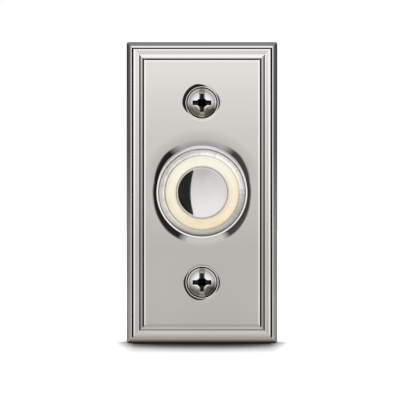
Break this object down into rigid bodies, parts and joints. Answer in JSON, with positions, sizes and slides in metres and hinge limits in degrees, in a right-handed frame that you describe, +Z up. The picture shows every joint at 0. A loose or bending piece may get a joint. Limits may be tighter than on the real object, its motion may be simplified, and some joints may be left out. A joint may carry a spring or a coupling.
{
  "type": "doorbell push button",
  "caption": "Rectangular stepped nickel wall plate with a lighted round push button between two screws, and a sprung switch in a barrel behind it.",
  "frame": {"origin": "centre of the plate on the wall plane, midway between the two mounting screws", "axes": "+Z up the wall, +Y into the wall, so the front faces -Y; +X to the right as seen from the front"},
  "size_m": [0.035, 0.0342, 0.07],
  "materials": {
    "satin_nickel": "satin nickel plate on die-cast zinc",
    "screw_nickel": "nickel-plated steel",
    "bright_nickel": "polished nickel plate",
    "pearl_plastic": "pearly, faintly lit from behind",
    "lit_plastic": "milky translucent, lit from behind",
    "contact_brass": "plain brass",
    "spring_steel": "drawn wire",
    "black_moulding": "fine spark-eroded texture",
    "zinc_steel": "bright zinc plate",
    "board_laminate": "bare paper laminate",
    "resistor_coat": "lacquered",
    "diode_moulding": "moulded epoxy",
    "tinned_wire": "tinned copper",
    "led_epoxy": "diffused warm white"
  },
  "bodies": {
    "plate": {"face_plate": "satin_nickel", "mounting_screws": "screw_nickel", "return_spring": "spring_steel", "switch_base": "black_moulding", "base_screws": "zinc_steel", "contact_right": "contact_brass", "contact_left": "contact_brass", "terminal_screws": "contact_brass", "terminal_washers": "zinc_steel", "circuit_board": "board_laminate", "resistor": "resistor_coat", "rectifier_diode": "diode_moulding", "board_lead_right": "tinned_wire", "board_lead_left": "tinned_wire", "led_1": "led_epoxy", "led_2": "led_epoxy", "led_3": "led_epoxy"},
    "button": {"button_sleeve": "pearl_plastic", "light_ring": "lit_plastic", "button_cap": "bright_nickel", "contact_bridge": "contact_brass", "stem_clip": "spring_steel"}
  },
  "joints": [
    {"name": "button_press", "type": "slide", "parent": "plate", "child": "button", "axis": [0, 1, 0], "range_m": [0, 0.0015], "stiffness_N_per_m": 900, "springref_m": -0.0015, "deforming": ["return_spring"]}
  ]
}
